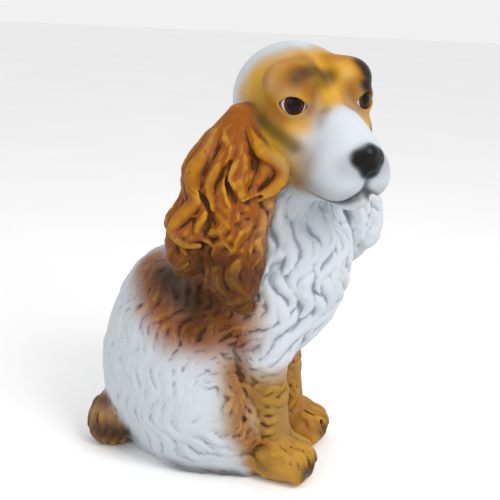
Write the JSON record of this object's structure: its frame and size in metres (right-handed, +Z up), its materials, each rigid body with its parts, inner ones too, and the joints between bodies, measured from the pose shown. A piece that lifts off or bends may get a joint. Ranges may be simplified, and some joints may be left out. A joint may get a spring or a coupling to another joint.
{
  "type": "ceramic dog figurine",
  "caption": "Seated spaniel figurine in hollow slip-cast ceramic, head turned to its right, with long wavy ears, feathered forelegs, short tail, inset glass eyes and a flat base.",
  "frame": {"origin": "On the standing surface, at the base mount, under the middle of the chest", "axes": "+Z up; the dog looks towards -Y with its body, and its left side is +X"},
  "size_m": [0.1847, 0.2918, 0.4172],
  "materials": {
    "white_ceramic": "satin, airbrushed",
    "tan_ceramic": "satin, airbrushed",
    "eye_glass": "polished, painted from behind"
  },
  "bodies": {
    "root": {"body_shell": "white_ceramic", "head_shell": "white_ceramic", "right_ear": "tan_ceramic", "left_ear": "tan_ceramic", "right_foreleg": "tan_ceramic", "left_foreleg": "tan_ceramic", "right_hind_foot": "white_ceramic", "left_hind_foot": "white_ceramic", "tail": "tan_ceramic", "right_eye": "eye_glass", "left_eye": "eye_glass"}
  },
  "joints": []
}
